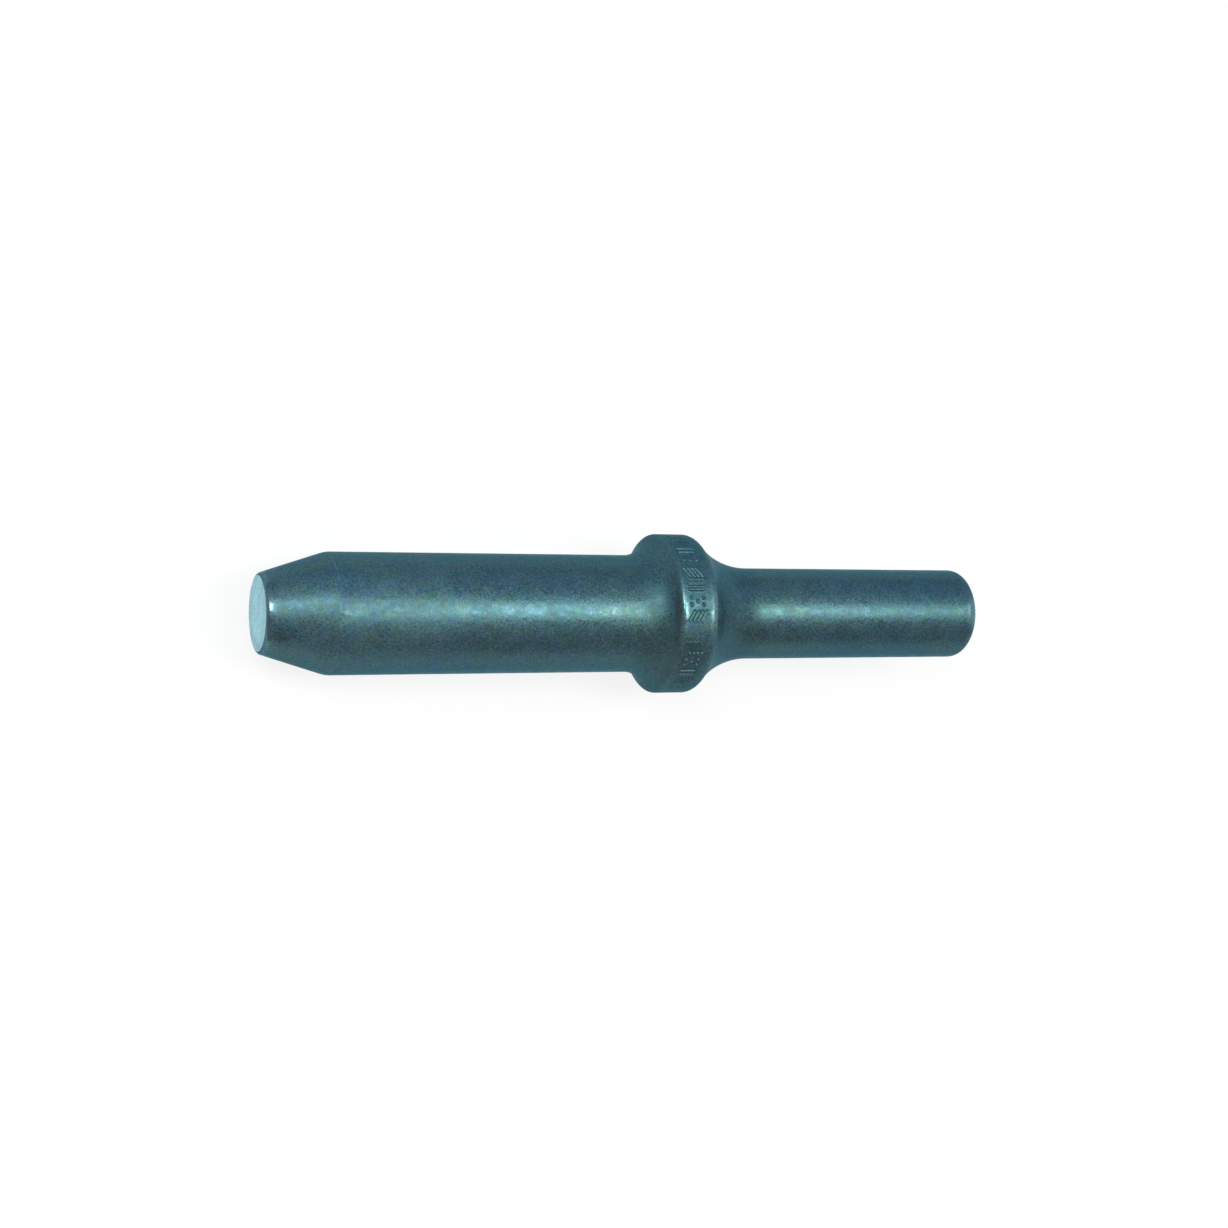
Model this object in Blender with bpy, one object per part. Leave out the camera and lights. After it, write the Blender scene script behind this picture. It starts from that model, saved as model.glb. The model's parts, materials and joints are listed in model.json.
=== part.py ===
"""A rivet set: the one-piece steel tool that a pneumatic riveting hammer drives onto a rivet.

The tool is a single forging, turned about the X axis. The struck face of its shank is at the
origin and faces +X, and the working face of its nose faces -X. Metres, +Z up.
"""

import math

import bmesh
import bpy
from mathutils import Matrix, Vector

# Shank: the round end that slides in the hammer's nozzle and takes the blows of its piston
SHANK_DIAMETER = 0.01727
SHANK_LENGTH = 0.0603
STRUCK_EDGE_RADIUS = 0.0024

# Collar: the band that the hammer's retainer holds, with a slope down to the body in front of it and
# a concave run-out to the shank behind it
COLLAR_DIAMETER = 0.0298
COLLAR_WIDTH = 0.0066
COLLAR_FRONT_EDGE_RADIUS = 0.0009
COLLAR_FRONT_SLOPE_LENGTH = 0.0027
COLLAR_REAR_EDGE_RADIUS = 0.0019
RUN_OUT_LENGTH = 0.0056
RUN_OUT_RADIUS = 0.0168

# Body: the plain cylinder in front of the collar, measured from the front of the band
BODY_DIAMETER = 0.0218
BODY_LENGTH = 0.0628
BODY_FILLET_RADIUS = 0.0057

# Nose: a cone, whose diameter is given where it would meet the plane of the working face
NOSE_LENGTH = 0.0120
NOSE_BLEND_RADIUS = 0.0055
FACE_DIAMETER = 0.0141
FACE_EDGE_RADIUS = 0.0009

# Fineness of the facets, and the distance under which two points are one
FACETS_AROUND = 64
ARC_STEP = math.radians(8)
MERGE_DISTANCE = 0.000001

# Finishes: a dark heat-treated oxide all over, and the bright ground working face
OXIDE_COLOUR = (0.060, 0.122, 0.145)
OXIDE_ROUGHNESS = 0.40
GROUND_COLOUR = (0.31, 0.52, 0.59)
GROUND_ROUGHNESS = 0.45


def clear_scene():
    for item in list(bpy.data.objects):
        bpy.data.objects.remove(item, do_unlink=True)


def half_section():
    """Corners of the tool's outline from the struck face to the nose, as (x, radius, edge radius)."""
    collar_rear = -SHANK_LENGTH
    collar_front = collar_rear - COLLAR_WIDTH
    nose_root = collar_front - BODY_LENGTH
    working_face = nose_root - NOSE_LENGTH
    return (
        (0, 0, 0),
        (0, SHANK_DIAMETER / 2, STRUCK_EDGE_RADIUS),
        (collar_rear + RUN_OUT_LENGTH, SHANK_DIAMETER / 2, RUN_OUT_RADIUS),
        (collar_rear, COLLAR_DIAMETER / 2, COLLAR_REAR_EDGE_RADIUS),
        (collar_front, COLLAR_DIAMETER / 2, COLLAR_FRONT_EDGE_RADIUS),
        (collar_front - COLLAR_FRONT_SLOPE_LENGTH, BODY_DIAMETER / 2, BODY_FILLET_RADIUS),
        (nose_root, BODY_DIAMETER / 2, NOSE_BLEND_RADIUS),
        (working_face, FACE_DIAMETER / 2, FACE_EDGE_RADIUS),
        (working_face, 0, 0),
    )


def arc_reaches(sides, turns, radii):
    """How far each corner's arc reaches along its sides, cut back where two arcs would cross."""
    wanted = [radius * math.tan(abs(turn) / 2) for turn, radius in zip(turns, radii)]
    ends = [0, *wanted, 0]
    room = []
    for side, first, second in zip(sides, ends, ends[1:]):
        taken = first + second
        room.append(min(1, side.length / taken) if taken > 0 else 1)
    return [reach * min(before, after) for reach, before, after in zip(wanted, room, room[1:])]


def rounded_outline(corners):
    """Points of the outline between its two ends on the axis, with an arc at each corner."""
    points = [Vector((x, radius)) for x, radius, _ in corners]
    sides = [end - start for start, end in zip(points, points[1:])]
    turns = [-before.angle_signed(after) for before, after in zip(sides, sides[1:])]
    reaches = arc_reaches(sides, turns, [edge for _, _, edge in corners[1:-1]])
    outline = []
    for corner, side, turn, reach in zip(points[1:], sides, turns, reaches):
        forward = side.normalized()
        inward = Vector((-forward.y, forward.x)) * math.copysign(1, turn)
        start = corner - forward * reach
        centre = start + inward * reach / math.tan(abs(turn) / 2)
        steps = max(2, math.ceil(abs(turn) / ARC_STEP))
        for step in range(steps + 1):
            outline.append(centre + Matrix.Rotation(turn * step / steps, 2) @ (start - centre))
    return outline


def turned_solid(name, outline):
    """A closed mesh of revolution about X, with one flat polygon at each end."""
    solid = bmesh.new()
    profile = [solid.verts.new((point.x, 0, point.y)) for point in outline]
    edges = [solid.edges.new(pair) for pair in zip(profile, profile[1:])]
    bmesh.ops.spin(
        solid,
        geom=profile + edges,
        cent=(0, 0, 0),
        axis=(1, 0, 0),
        angle=math.tau,
        steps=FACETS_AROUND,
        use_merge=True,
    )
    bmesh.ops.remove_doubles(solid, verts=solid.verts, dist=MERGE_DISTANCE)
    for face in solid.faces:
        face.smooth = True
    rims = [edge for edge in solid.edges if edge.is_boundary]
    end_faces = bmesh.ops.holes_fill(solid, edges=rims, sides=0)["faces"]
    for face in end_faces:
        face.smooth = False
    min(end_faces, key=lambda face: face.calc_center_median().x).material_index = 1
    bmesh.ops.recalc_face_normals(solid, faces=solid.faces)
    mesh = bpy.data.meshes.new(name)
    solid.to_mesh(mesh)
    solid.free()
    return mesh


def steel(name, colour, roughness):
    material = bpy.data.materials.new(name)
    material.use_nodes = True
    shader = material.node_tree.nodes["Principled BSDF"]
    shader.inputs["Base Color"].default_value = (*colour, 1)
    shader.inputs["Roughness"].default_value = roughness
    shader.inputs["Metallic"].default_value = 1
    return material


def rivet_set_forging():
    mesh = turned_solid("rivet_set_forging", rounded_outline(half_section()))
    mesh.materials.append(steel("oxide_steel", OXIDE_COLOUR, OXIDE_ROUGHNESS))
    mesh.materials.append(steel("ground_steel", GROUND_COLOUR, GROUND_ROUGHNESS))
    bpy.context.scene.collection.objects.link(bpy.data.objects.new("rivet_set_forging", mesh))


clear_scene()
rivet_set_forging()
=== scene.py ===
import json
import math

import bpy
from mathutils import Matrix, Vector


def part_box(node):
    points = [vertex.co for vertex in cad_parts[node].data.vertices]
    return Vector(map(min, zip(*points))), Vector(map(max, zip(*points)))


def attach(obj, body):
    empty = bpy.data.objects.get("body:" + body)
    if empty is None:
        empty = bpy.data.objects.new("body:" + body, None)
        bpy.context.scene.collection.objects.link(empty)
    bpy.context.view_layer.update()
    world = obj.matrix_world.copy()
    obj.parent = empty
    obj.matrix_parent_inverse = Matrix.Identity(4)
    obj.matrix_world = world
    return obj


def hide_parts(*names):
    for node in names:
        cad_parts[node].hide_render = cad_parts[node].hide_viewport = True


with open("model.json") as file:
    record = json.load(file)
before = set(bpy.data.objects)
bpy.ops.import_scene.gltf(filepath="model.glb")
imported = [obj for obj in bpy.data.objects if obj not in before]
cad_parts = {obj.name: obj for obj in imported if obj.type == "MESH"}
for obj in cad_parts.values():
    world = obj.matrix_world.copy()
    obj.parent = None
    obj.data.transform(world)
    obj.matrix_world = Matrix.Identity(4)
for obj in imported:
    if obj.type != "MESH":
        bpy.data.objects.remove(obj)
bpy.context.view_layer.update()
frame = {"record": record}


# The blank is one bar of tool steel, forged in a die to raise the collar and then turned all over:
# shank, collar and body share one axis and run into each other through rounded corners.
forging_low, forging_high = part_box("rivet_set_forging")
mounts = {mount["name"]: mount for mount in frame["record"]["mounts"]}
shank_radius = mounts["shank"]["dims"]["r_mm"] / 1000
collar_radius = forging_high.z
body_radius = 0.0109
face_radius = 0.00705
nose_length = 0.0120
body_length = 0.0628
collar_slope_length = 0.0027
collar_width = 0.0066
run_out_length = 0.0056
struck_end = mounts["struck_face"]["pos_m"][0]
nose_end = forging_low.x
nose_root = nose_end + nose_length
collar_front = nose_root + body_length
collar_rear = collar_front + collar_width
collar_foot = collar_front - collar_slope_length
run_out_foot = collar_rear + run_out_length
struck_edge_rounding = 0.0024
run_out_rounding = 0.0168
collar_rear_rounding = 0.0019
collar_front_rounding = 0.0009
body_fillet = 0.0057
nose_blend = 0.0055
face_edge_rounding = 0.0009
end_ring_widths = (0.0002, 0.0006, 0.0012, 0.0020)
sides_around = 256
same_place = 0.00001
corners = (
    # Place along the axis and radius, then the rounding's radius and how many cuts it takes
    ((struck_end, shank_radius), struck_edge_rounding, 12),
    ((run_out_foot, shank_radius), run_out_rounding, 24),
    ((collar_rear, collar_radius), collar_rear_rounding, 10),
    ((collar_front, collar_radius), collar_front_rounding, 10),
    ((collar_foot, body_radius), body_fillet, 16),
    ((nose_root, body_radius), nose_blend, 8),
    ((nose_end, face_radius), face_edge_rounding, 8),
)


def start_editing(piece, kind):
    """Opens a piece in edit mode with nothing selected."""
    bpy.context.view_layer.objects.active = piece
    bpy.ops.object.mode_set(mode="EDIT")
    bpy.ops.mesh.select_mode(type=kind)
    bpy.ops.mesh.select_all(action="DESELECT")


def select_edges(piece, wanted):
    """Opens a piece in edit mode with the wanted edges selected, by the places of their two ends."""
    start_editing(piece, "EDGE")
    bpy.ops.object.mode_set(mode="OBJECT")
    points = piece.data.vertices
    for edge in piece.data.edges:
        first, second = edge.vertices
        edge.select = wanted(points[first].co, points[second].co)
    bpy.ops.object.mode_set(mode="EDIT")


def select_faces(piece, wanted):
    """Opens a piece in edit mode with the wanted faces selected."""
    start_editing(piece, "FACE")
    bpy.ops.object.mode_set(mode="OBJECT")
    for face in piece.data.polygons:
        face.select = wanted(face)
    bpy.ops.object.mode_set(mode="EDIT")


def radius_at(point):
    return math.hypot(point.y, point.z)


bpy.ops.object.select_all(action="DESELECT")
bpy.ops.mesh.primitive_circle_add(
    vertices=sides_around,
    radius=shank_radius,
    fill_type="NGON",
    location=(struck_end, 0, 0),
    rotation=(0, math.pi / 2, 0),
)
forging = bpy.context.object
forging.name = "turned_forging"
forging.data.name = "turned_forging"
bpy.ops.object.transform_apply(location=True, rotation=True, scale=True)
bpy.ops.object.mode_set(mode="EDIT")
bpy.ops.mesh.select_all(action="SELECT")
for (place, _, _), (next_place, _, _) in zip(corners, corners[1:]):
    growth = next_place[1] / place[1]
    bpy.ops.mesh.extrude_region_move(TRANSFORM_OT_translate={"value": (next_place[0] - place[0], 0, 0)})
    bpy.ops.transform.resize(value=(1, growth, growth), center_override=(next_place[0], 0, 0))
bpy.ops.mesh.select_all(action="SELECT")
bpy.ops.mesh.normals_make_consistent(inside=False)

path = [Vector((struck_end, 0)), *(Vector(place) for place, _, _ in corners), Vector((nose_end, 0))]
for before, corner, after, (_, rounding, cuts) in zip(path, path[1:], path[2:], corners):
    turn = (corner - before).angle(after - corner)
    # The middle of a true arc lies this share of the way from its chord to the corner
    fullness = math.cos(turn / 2) / (1 + math.cos(turn / 2))
    # A bevel with this profile passes through that middle
    round_profile = ((1 + fullness) / 2) ** 2

    def on_corner(*ends):
        return all(
            abs(end.x - corner.x) < same_place and abs(radius_at(end) - corner.y) < same_place for end in ends
        )

    select_edges(forging, on_corner)
    bpy.ops.mesh.bevel(
        offset=rounding * math.tan(turn / 2),
        segments=cuts,
        profile=round_profile,
        affect="EDGES",
        clamp_overlap=False,
    )
bpy.ops.object.mode_set(mode="OBJECT")

# The struck face and the working face are turned flat, so each gets rings inside its rim
for flat_end in (struck_end, nose_end):
    select_faces(
        forging,
        lambda face: abs(face.center.x - flat_end) < same_place and len(face.vertices) == sides_around,
    )
    for width in end_ring_widths:
        bpy.ops.mesh.inset(thickness=width)
    bpy.ops.object.mode_set(mode="OBJECT")


# The marks are struck into the collar's band with hand punches after turning: dots, dashes and
# hatching, in two groups. Each sinks a little unevenly and pushes up a thin lip round itself.
mark_row = collar_front + 0.0027
mark_pitch = math.radians(10.4)
first_group_start = math.radians(71)
second_group_start = math.radians(-25)
mark_depth = 0.00017
stroke_half_width = 0.00024
punch_wall = 0.00030
lip_height = 0.00005
lip_reach = 0.00030
lean_per_metre = 110
lean_turn = 2.4
dot_pitch = 0.0013
corner_dot_along = 0.0012
corner_dot_round = 0.0006
dash_half_length = 0.0014
dash_half_gap = 0.0005
hatch_start = -0.0011
hatch_pitch = 0.0008
hatch_slant = 0.0005
hatch_half_height = 0.0008
hatch_count = 4
zone_half_width = 0.00206
zone_reach = math.radians(80)
cuts_across_zone = 11
cuts_in_cell = 4
sharpest_round = math.radians(40)
camera_rise = math.radians(80.4)


def dot(x, y):
    """A dot is a stroke with hardly any length."""
    return ((x - same_place, y), (x + same_place, y))


def hatch(x):
    return ((x - hatch_slant, -hatch_half_height), (x + hatch_slant, hatch_half_height))


row_of_dots = tuple(dot(x, 0) for x in (-dot_pitch, 0, dot_pitch))
five_dots = (
    dot(0, 0),
    dot(-corner_dot_along, -corner_dot_round),
    dot(-corner_dot_along, corner_dot_round),
    dot(corner_dot_along, -corner_dot_round),
    dot(corner_dot_along, corner_dot_round),
)
dashes = tuple(((-dash_half_length, y), (dash_half_length, y)) for y in (-dash_half_gap, dash_half_gap))
hatching = tuple(hatch(hatch_start + hatch_pitch * count) for count in range(hatch_count))
back_hatching = tuple(((-x, y), (-next_x, next_y)) for (x, y), (next_x, next_y) in hatching)
first_group = (five_dots, hatching, dashes, row_of_dots, back_hatching, dashes, five_dots, hatching)
second_group = (back_hatching, five_dots, dashes, hatching, row_of_dots)
marks = [(first_group_start - mark_pitch * count, mark) for count, mark in enumerate(first_group)]
marks += [(second_group_start - mark_pitch * count, mark) for count, mark in enumerate(second_group)]


def angle_at(point):
    """Angle round the axis from the side that faces the camera, positive towards the back."""
    turned = math.atan2(point.y, point.z) + math.pi / 2 - camera_rise
    return math.remainder(turned, math.tau)


def in_zone(point):
    return (
        abs(point.x - mark_row) < zone_half_width + same_place
        and abs(radius_at(point) - collar_radius) < same_place
        and abs(angle_at(point)) < zone_reach
    )


def distance_from_stroke(place, start, end):
    """How far a place on the band is from the edge of a stroke, below 0 inside it."""
    start = Vector(start)
    run = Vector(end) - start
    share = min(max((place - start).dot(run) / run.length_squared, 0), 1)
    return (place - start - run * share).length - stroke_half_width


def smooth_step(value):
    value = min(max(value, 0), 1)
    return value * value * (3 - 2 * value)


def struck_height(point):
    """How far the punches move a point of the band outwards."""
    height = 0
    for count, (angle, mark) in enumerate(marks):
        place = Vector((point.x - mark_row, (angle_at(point) - angle) * collar_radius))
        if abs(place.y) > mark_pitch * collar_radius:
            continue
        distance = min(distance_from_stroke(place, start, end) for start, end in mark)
        lean = 1 + lean_per_metre * math.sin(lean_turn * count) * place.x
        height -= mark_depth * lean * smooth_step(0.5 - distance / punch_wall)
        height += lip_height * smooth_step(1 - abs(distance - lip_reach / 2) / (lip_reach / 2))
    return height


start_editing(forging, "EDGE")
for edge_of_zone in (mark_row - zone_half_width, mark_row + zone_half_width):
    bpy.ops.mesh.select_all(action="SELECT")
    bpy.ops.mesh.bisect(plane_co=(edge_of_zone, 0, 0), plane_no=(1, 0, 0), threshold=same_place / 10)
select_edges(forging, lambda first, second: in_zone(first) and in_zone(second) and first.x != second.x)
bpy.ops.mesh.subdivide(number_cuts=cuts_across_zone)
select_faces(
    forging, lambda face: all(in_zone(forging.data.vertices[index].co) for index in face.vertices)
)
bpy.ops.mesh.subdivide(number_cuts=cuts_in_cell)
bpy.ops.object.mode_set(mode="OBJECT")
for vertex in forging.data.vertices:
    point = vertex.co
    if abs(point.x - mark_row) < zone_half_width and abs(angle_at(point)) < zone_reach:
        stretch = (collar_radius + struck_height(point)) / radius_at(point)
        vertex.co = (point.x, point.y * stretch, point.z * stretch)
bpy.ops.object.select_all(action="DESELECT")
forging.select_set(True)
bpy.context.view_layer.objects.active = forging
bpy.ops.object.shade_smooth_by_angle(angle=sharpest_round)
weighted = forging.modifiers.new("weighted_normals", "WEIGHTED_NORMAL")
weighted.keep_sharp = True
bpy.ops.object.modifier_apply(modifier=weighted.name)


# The finish is the dark blue oxide that heat treatment leaves on turned steel, blotched and speckled.
# It is lighter on the tempered nose and rubbed pale along the rims, with painted glints added on the
# rims where the lamps' highlights fall. Painted shade darkens the corner in front of the collar's rim,
# the lower front of the collar and the root of the shank; a painted dark reflection sits on the nose
# and a painted teal reflection tints the collar's far side.
oxide_blue = (0.0550, 0.1175, 0.151, 1)
oxide_grey = (0.0660, 0.1275, 0.142, 1)
painted_reflection_teal = (0.054, 0.136, 0.168, 1)
# Brownish dark colour painted as shade
shade_brown = (0.056, 0.088, 0.090, 1)
# Pale steel, both for real wear along the rims and for the painted glints
wear_and_glint_steel = (0.16, 0.27, 0.30, 1)
slant_tint = (0.46, 0.62, 0.72, 1)
teal_cast = (0.92, 1.02, 1, 1)
violet_cast = (1.08, 0.98, 1, 1)
green_cast = (1, 1.02, 0.92, 1)
blue_cast = (1, 0.98, 1.08, 1)
nose_rim = (nose_end + 0.0005, face_radius + 0.0002)
nose_corner = (nose_root, body_radius)
front_corner = (collar_front - 0.0006, collar_radius - 0.0010)
front_rim = (collar_front, collar_radius)
rear_rim = (collar_rear, collar_radius)
rear_shoulder = (collar_rear + 0.0006, collar_radius - 0.0006)
shank_root_shade = (run_out_foot + 0.0046, shank_radius + 0.0004)
struck_rim = (struck_end - 0.0010, shank_radius - 0.0003)
# Centre of a painted dark reflection on the nose's lower side
dark_reflection_place = (nose_end + 0.0033, -0.0045, 0.0066)
lower_front_shade_place = (collar_front - 0.0016, -0.0098, 0.0086)
# Places where the lamps' highlights fall on the rims; the painted glints are centred on them
nose_glint_place = (nose_end + 0.0003, 0.0006, 0.0070)
front_glint_place = (collar_front, -0.0022, 0.0147)
rear_glint_place = (collar_rear, -0.0015, 0.0148)
struck_glint_place = (struck_end - 0.0008, -0.0012, 0.0084)
temper_line = nose_end + 0.0337
temper_fade = 0.0100
temper_wander = 0.0080
patch_swing = 0.14
noise_roughness = 0.55
to_millimetres = 1000


class Shade:
    """A socket of a node tree. Arithmetic on it adds Math nodes."""

    def __init__(self, tree, socket=None):
        self.tree = tree
        self.socket = socket

    def node(self, kind, settings, sockets, output=0):
        """Adds any other node: its settings first, then the values or links of its sockets."""
        made = self.tree.nodes.new(kind)
        for name, setting in settings.items():
            setattr(made, name, setting)
        for name, value in sockets.items():
            if isinstance(value, Shade):
                self.tree.links.new(value.socket, made.inputs[name])
            else:
                made.inputs[name].default_value = value
        return Shade(self.tree, made.outputs[output] if made.outputs else None)

    def sibling(self, output):
        """Another output of the same node."""
        return Shade(self.tree, self.socket.node.outputs[output])

    def math(self, operation, first, second):
        return self.node("ShaderNodeMath", {"operation": operation}, {0: first, 1: second})

    def __add__(self, other):
        return self.math("ADD", self, other)

    def __radd__(self, other):
        return self.math("ADD", other, self)

    def __sub__(self, other):
        return self.math("SUBTRACT", self, other)

    def __rsub__(self, other):
        return self.math("SUBTRACT", other, self)

    def __mul__(self, other):
        return self.math("MULTIPLY", self, other)

    def __rmul__(self, other):
        return self.math("MULTIPLY", other, self)

    def __pow__(self, other):
        return self.math("POWER", self, other)


def blank_tree(owner):
    owner.use_nodes = True
    owner.node_tree.nodes.clear()
    return Shade(owner.node_tree)


def rising(value, low, high):
    """0 up to low, 1 from high on, and a soft step between them."""
    return value.node(
        "ShaderNodeMapRange",
        {"interpolation_type": "SMOOTHSTEP"},
        {"Value": value, "From Min": low, "From Max": high},
    )


def noise(point, scale, detail):
    """Noise that swings about 0, with its scale in swings per millimetre."""
    from_0_to_1 = point.node(
        "ShaderNodeTexNoise",
        {},
        {"Vector": point, "Scale": scale, "Detail": detail, "Roughness": noise_roughness},
    )
    return from_0_to_1 - 0.5


def mixed(factor, first, second):
    return factor.node("ShaderNodeMix", {"data_type": "RGBA"}, {0: factor, 6: first, 7: second}, 2)


def patched(swing, first, second):
    """Patches of two colours, by the swing of a noise."""
    return mixed(rising(swing, -patch_swing, patch_swing), first, second)


def scaled(vector, amount):
    return vector.node("ShaderNodeVectorMath", {"operation": "SCALE"}, {0: vector, "Scale": amount})


def stretched(vector, amounts):
    return vector.node("ShaderNodeVectorMath", {"operation": "MULTIPLY"}, {0: vector, 1: amounts})


def in_place(tree):
    """The place on the piece in millimetres."""
    return scaled(tree.node("ShaderNodeTexCoord", {}, {}, "Object"), to_millimetres)


oxide = bpy.data.materials.new("heat_treated_oxide")
tree = blank_tree(oxide)
point = in_place(tree)
along = tree.node("ShaderNodeSeparateXYZ", {}, {0: point}, "X")
across = along.sibling("Y")
upward = along.sibling("Z")
radius = (across * across + upward * upward) ** 0.5
drift = noise(point, scale=0.05, detail=2)
swell = noise(point, scale=0.22, detail=1)
blotch = noise(point, scale=0.30, detail=4)
blue_bloom = noise(point, scale=0.50, detail=2)
violet_bloom = noise(point, scale=0.62, detail=2)
dimple = noise(point, scale=0.75, detail=2)
tint = noise(point, scale=1.1, detail=2)
fleck = rising(noise(point, scale=1.35, detail=1), 0.14, 0.26)
speckle = noise(point, scale=2.4, detail=2)
grain = noise(point, scale=3.6, detail=3)
# The tool's marks are close together along the outline and long round the axis
tool_path = tree.node(
    "ShaderNodeCombineXYZ", {}, {0: 5.0 * (along + radius), 1: 0.15 * across, 2: 0.15 * upward}
)
turning = noise(tool_path, scale=1.0, detail=2)


def beyond(coordinate, place, fade):
    """0 below a place on one of the axes, 1 above it, and a soft step as wide as the fade."""
    return rising(coordinate, (place - fade / 2) * to_millimetres, (place + fade / 2) * to_millimetres)


def near_ring(ring, width):
    """1 on a ring round the axis, fading out unevenly over the width."""
    off_along = along - ring[0] * to_millimetres
    off_out = radius - ring[1] * to_millimetres
    distance = (off_along * off_along + off_out * off_out) ** 0.5
    fade = width * to_millimetres
    return 1 - rising(distance + fade * blotch, 0.2 * fade, fade)


def near_place(place, reach):
    """1 at a place on the piece, fading out unevenly over the reach."""
    centre = tuple(size * to_millimetres for size in place)
    distance = point.node("ShaderNodeVectorMath", {"operation": "DISTANCE"}, {0: point, 1: centre}, "Value")
    fade = reach * to_millimetres
    return 1 - rising(distance + 0.4 * fade * blotch, 0.4 * fade, fade)


tempered = 1 - beyond(along + temper_wander * to_millimetres * blotch, temper_line, temper_fade)
behind_fillet = beyond(along, place=collar_front - 0.0055, fade=0.0092)
at_band = behind_fillet * (1 - beyond(along, place=collar_rear + 0.0013, fade=0.0040))
at_collar = behind_fillet * (1 - beyond(along, place=run_out_foot + 0.0059, fade=0.0044))
far_side = beyond(across, place=-0.0030, fade=0.0100)
nose_edge = near_ring(nose_rim, width=0.0008)
nose_rub = near_ring(nose_rim, width=0.0028)
struck_edge = near_ring(struck_rim, width=0.0020)
# The collar's rims are made smoother and paler where the highlights fall: painted glints
front_rim_glint = near_ring(front_rim, width=0.0012) * near_place(front_glint_place, reach=0.0065)
rear_rim_glint = near_ring(rear_rim, width=0.0016) * near_place(rear_glint_place, reach=0.0050)
# Pale steel mixed in along the rims: real wear all round, plus painted glints at the highlight places on the
# nose edge, the collar's rims and the struck edge
wear_and_glint = (
    0.09 * near_ring(front_rim, width=0.0008)
    + 0.28 * front_rim_glint
    + 0.24 * near_ring(rear_shoulder, width=0.0024)
    + 0.62 * rear_rim_glint
    + 0.30 * near_ring(nose_corner, width=0.0003) * rising(blotch, -0.04, 0.10)
    + nose_edge * (0.14 + 0.38 * near_place(nose_glint_place, reach=0.0028))
    + struck_edge * (0.12 + 0.88 * near_place(struck_glint_place, reach=0.0040))
)
# Painted shade: brownish dark in the corner in front of the collar's rim, strongest near the front glint
# place, and on the lower front of the collar
front_corner_shade = (
    near_ring(front_corner, width=0.0012) * (0.12 + 0.65 * near_place(front_glint_place, reach=0.0085))
    + 0.40 * near_place(lower_front_shade_place, reach=0.0080)
)
lightness = (
    1
    + 0.10 * tempered
    # Painted dark reflection on the nose's lower side
    - 0.20 * near_place(dark_reflection_place, reach=0.0024)
    - 0.06 * at_collar
    # Painted shade in a ring at the shank's root, dimming the highlight where the run-out begins
    - 0.11 * near_ring(shank_root_shade, width=0.0046)
    + 0.36 * blotch
    + speckle
    + 1.12 * grain
)
colour = patched(drift + 0.7 * tint + 0.7 * grain + 0.4 * speckle, oxide_blue, oxide_grey)
colour = stretched(colour, patched(violet_bloom, teal_cast, violet_cast))
colour = stretched(colour, patched(blue_bloom, green_cast, blue_cast))
# Painted reflection: a teal tint on the collar's far side, standing in for light reflected there
colour = mixed(0.4 * at_collar * far_side, colour, painted_reflection_teal)
colour = mixed(front_corner_shade, colour, shade_brown)
colour = scaled(mixed(wear_and_glint, colour, wear_and_glint_steel), lightness)
roughness = (
    0.40
    + 0.07 * tempered
    + 0.10 * at_band
    - 0.15 * nose_edge
    - 0.13 * nose_rub
    - 0.23 * front_rim_glint
    - 0.20 * rear_rim_glint
    - 0.10 * fleck
    + 0.34 * blotch
    - 0.24 * dimple
    + 0.06 * turning
    + 0.22 * speckle
    + 0.24 * grain
)
height = 0.030 * swell + 0.034 * dimple + 0.003 * speckle + 0.0016 * turning
relief = tree.node("ShaderNodeBump", {}, {"Height": height, "Distance": 1 / to_millimetres})
surface = tree.node(
    "ShaderNodeBsdfPrincipled",
    {},
    {
        "Base Color": colour,
        "Metallic": 1.0,
        "Roughness": roughness,
        "Specular Tint": slant_tint,
        "Normal": relief,
    },
)
tree.node("ShaderNodeOutputMaterial", {}, {"Surface": surface})


# The working face is the flat end of the nose, which meets the rivet. It is ground bright after
# hardening, and the stone leaves fine straight lines across it.
ground_steel = (0.30, 0.60, 0.68, 1)
ground_shade = (0.28, 0.57, 0.68, 1)
ground_depth = 0.00004
stone_lines = (1.0, 5.0, 0.6)

ground = bpy.data.materials.new("ground_face")
tree = blank_tree(ground)
point = in_place(tree)
lines = noise(stretched(point, stone_lines), scale=1.0, detail=3)
cloud = noise(point, scale=0.45, detail=3)
pits = noise(point, scale=2.8, detail=3)
off_axis = stretched(point, (0, 1, 1))
from_axis = tree.node("ShaderNodeVectorMath", {"operation": "LENGTH"}, {0: off_axis}, "Value")
# Painted shade: the working face is made darker towards its rim
face_rim_shade = beyond(from_axis, place=0.0042, fade=0.0044)
lightness = 1.04 + 0.80 * lines + 0.70 * cloud + 0.80 * pits - 0.15 * face_rim_shade
colour = scaled(mixed(0.5 + cloud, ground_steel, ground_shade), lightness)
relief = tree.node("ShaderNodeBump", {}, {"Height": 0.002 * lines, "Distance": 1 / to_millimetres})
surface = tree.node(
    "ShaderNodeBsdfPrincipled",
    {},
    {"Base Color": colour, "Metallic": 1.0, "Roughness": 0.44 + 0.12 * lines, "Normal": relief},
)
tree.node("ShaderNodeOutputMaterial", {}, {"Surface": surface})

forging.data.materials.clear()
forging.data.materials.append(oxide)
forging.data.materials.append(ground)
select_faces(forging, lambda face: face.center.x < nose_end + ground_depth)
forging.active_material_index = 1
bpy.ops.object.material_slot_assign()
bpy.ops.object.mode_set(mode="OBJECT")
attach(forging, "root")
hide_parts("rivet_set_forging")


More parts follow.
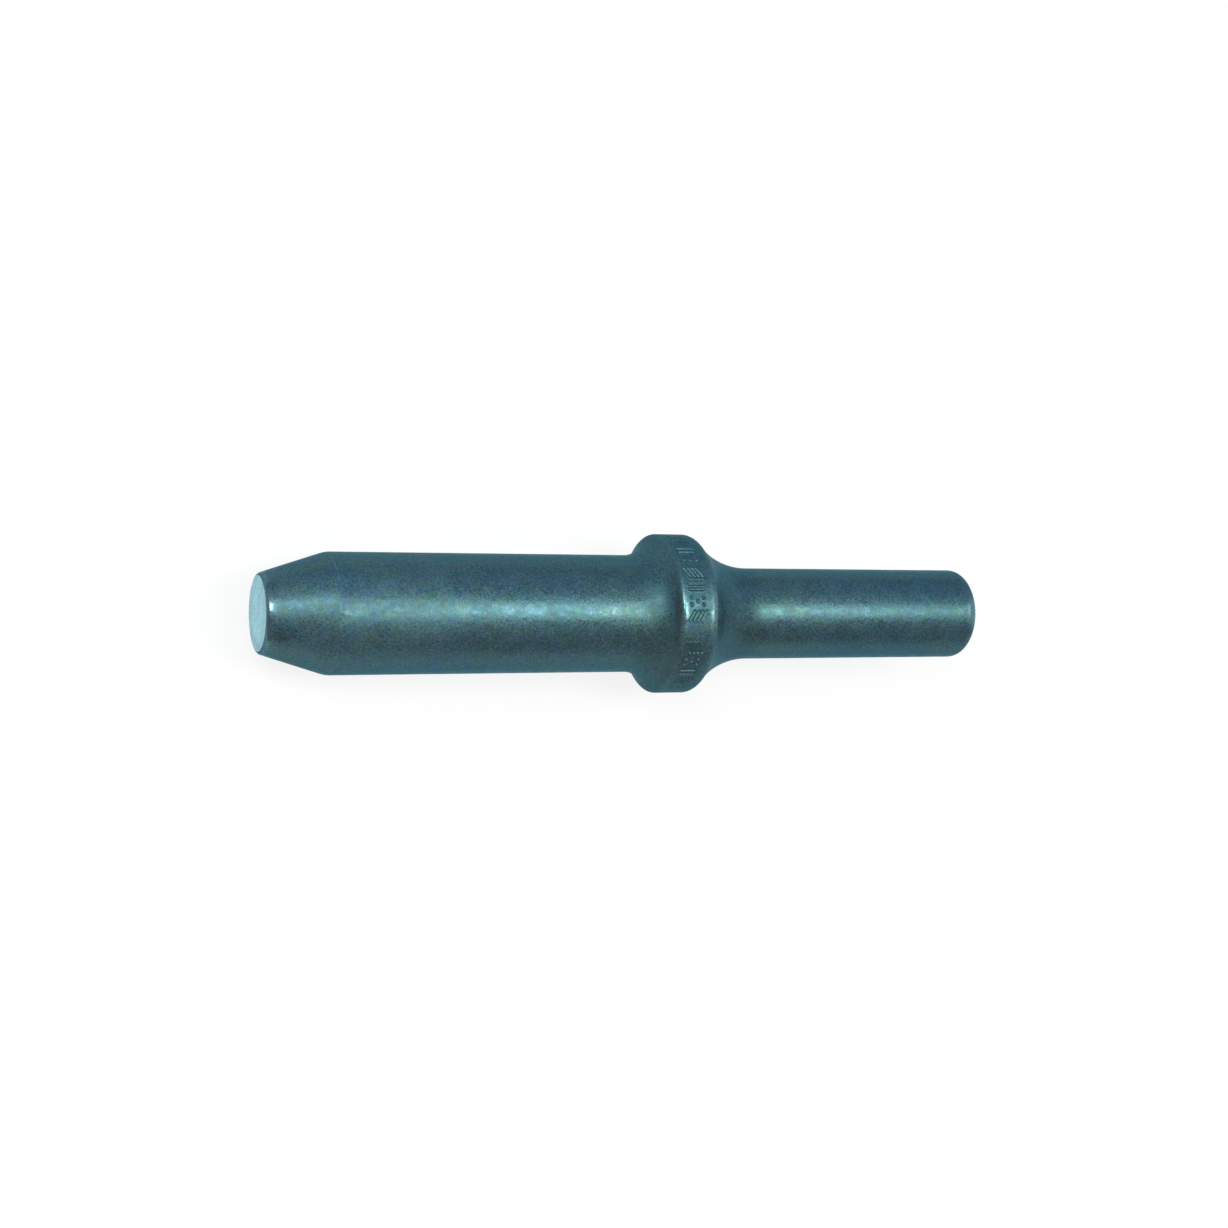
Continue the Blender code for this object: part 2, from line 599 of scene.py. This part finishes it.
# The floor is a sheet of white card. The tool lies on it as it does on a bench, on the collar's
# rim and the root of its nose, so the card slopes under it and runs level away from it.
card_reach = 3.0
card_left = -0.150
card_right = 0.020
card_slope = (collar_radius - body_radius) / (collar_front - nose_root)
card_grey = (0.82, 0.82, 0.82, 1)
card_glow = 0.85


def card_height(x):
    return card_slope * (collar_front - x) - collar_radius


bpy.ops.object.select_all(action="DESELECT")
bpy.ops.mesh.primitive_plane_add(size=2)
card = bpy.context.object
card.name = "white_card"
for vertex in card.data.vertices:
    x = card_right if vertex.co.x > 0 else card_left
    vertex.co = (x, math.copysign(card_reach, vertex.co.y), card_height(x))
for end, run in ((card_left, -card_reach), (card_right, card_reach)):
    select_edges(card, lambda first, second: first.x == second.x and abs(first.x - end) < same_place)
    bpy.ops.mesh.extrude_region_move(TRANSFORM_OT_translate={"value": (run, 0, 0)})
    bpy.ops.object.mode_set(mode="OBJECT")

white_card = bpy.data.materials.new("white_card")
tree = blank_tree(white_card)
paper = tree.node("ShaderNodeBsdfDiffuse", {}, {"Color": card_grey})
white = tree.node("ShaderNodeEmission", {}, {"Color": (1, 1, 1, 1), "Strength": 1.0})
ray = tree.node("ShaderNodeLightPath", {}, {}, "Is Camera Ray")
seen = ray + ray.sibling("Is Glossy Ray") + ray.sibling("Is Transmission Ray")
seen = seen.math("MINIMUM", seen, 1)
surface = tree.node("ShaderNodeMixShader", {}, {0: card_glow * seen, 1: paper, 2: white})
tree.node("ShaderNodeOutputMaterial", {}, {"Surface": surface})
card.data.materials.append(white_card)


# The light is a row of three soft strips overhead: one past the struck end that shines along the
# tool, a dimmer one over its middle and one past its nose. The room's walls are pale, and brighter
# towards the ceiling and past the struck end.
strip_height = 0.65
strip_width = 0.20
lamp_white = (0.943, 1.0, 0.813)
near_wall = (0.60, 0.57, 0.58, 1)
far_wall = (0.60, 0.72, 0.88, 1)
aim_place = -0.0745


def strip(name, place, length, turn, radiance):
    lamp = bpy.data.lights.new(name, "AREA")
    lamp.shape = "RECTANGLE"
    lamp.size = length
    lamp.size_y = strip_width
    lamp.color = lamp_white
    lamp.energy = radiance * math.pi * length * strip_width
    holder = bpy.data.objects.new(name, lamp)
    holder.location = (aim_place + place[0], place[1], strip_height)
    holder.rotation_euler = (0, 0, turn)
    bpy.context.scene.collection.objects.link(holder)


strip("strip_along", place=(0.275, -0.0479), length=0.37, turn=math.radians(-6.7), radiance=10.5)
strip("strip_middle", place=(-0.0525, 0.0152), length=0.297, turn=math.radians(-16.2), radiance=2.6)
strip("strip_nose", place=(-0.350, 0.110), length=0.31, turn=math.radians(-26), radiance=10.6)

room = bpy.data.worlds.new("room")
bpy.context.scene.world = room
tree = blank_tree(room)
direction = tree.node("ShaderNodeTexCoord", {}, {}, "Generated")
climb = tree.node("ShaderNodeSeparateXYZ", {}, {0: direction}, "Z")
toward_struck_end = climb.sibling("X")
wall = mixed(rising(climb.sibling("Y"), -0.5, 0.5), near_wall, far_wall)
brightness = 0.72 + 0.28 * rising(climb, 0.0, 0.5) + 0.45 * rising(toward_struck_end, 0.75, 1.0)
light = tree.node("ShaderNodeBackground", {}, {"Color": scaled(wall, brightness), "Strength": 1.0})
tree.node("ShaderNodeOutputWorld", {}, {"Surface": light})


# The camera looks down on the tool from the nose's side, turned so that the axis runs level
# across the picture.
picture_width = 1228
focal_pixels = 2040.6
axis_rise_pixels = 0.55
camera_yaw = math.radians(22.895)
camera_distance = 0.3801
toward_camera = Vector((0, -math.cos(camera_rise), math.sin(camera_rise)))
up = Vector((0, math.sin(camera_rise), math.cos(camera_rise)))
along_axis = Vector((1, 0, 0))
right = along_axis * math.cos(camera_yaw) + toward_camera * math.sin(camera_yaw)
back = toward_camera * math.cos(camera_yaw) - along_axis * math.sin(camera_yaw)
aim = along_axis * aim_place - up * axis_rise_pixels / focal_pixels * camera_distance
lens = bpy.data.cameras.new("camera")
lens.sensor_width = 36
lens.lens = focal_pixels / picture_width * lens.sensor_width
lens.clip_start = 0.01
lens.clip_end = 20
camera = bpy.data.objects.new("camera", lens)
bpy.context.scene.collection.objects.link(camera)
camera.matrix_world = (
    Matrix.Translation(aim + back * camera_distance) @ Matrix((right, up, back)).transposed().to_4x4()
)
bpy.context.scene.camera = camera
bpy.context.scene.view_settings.view_transform = "Standard"
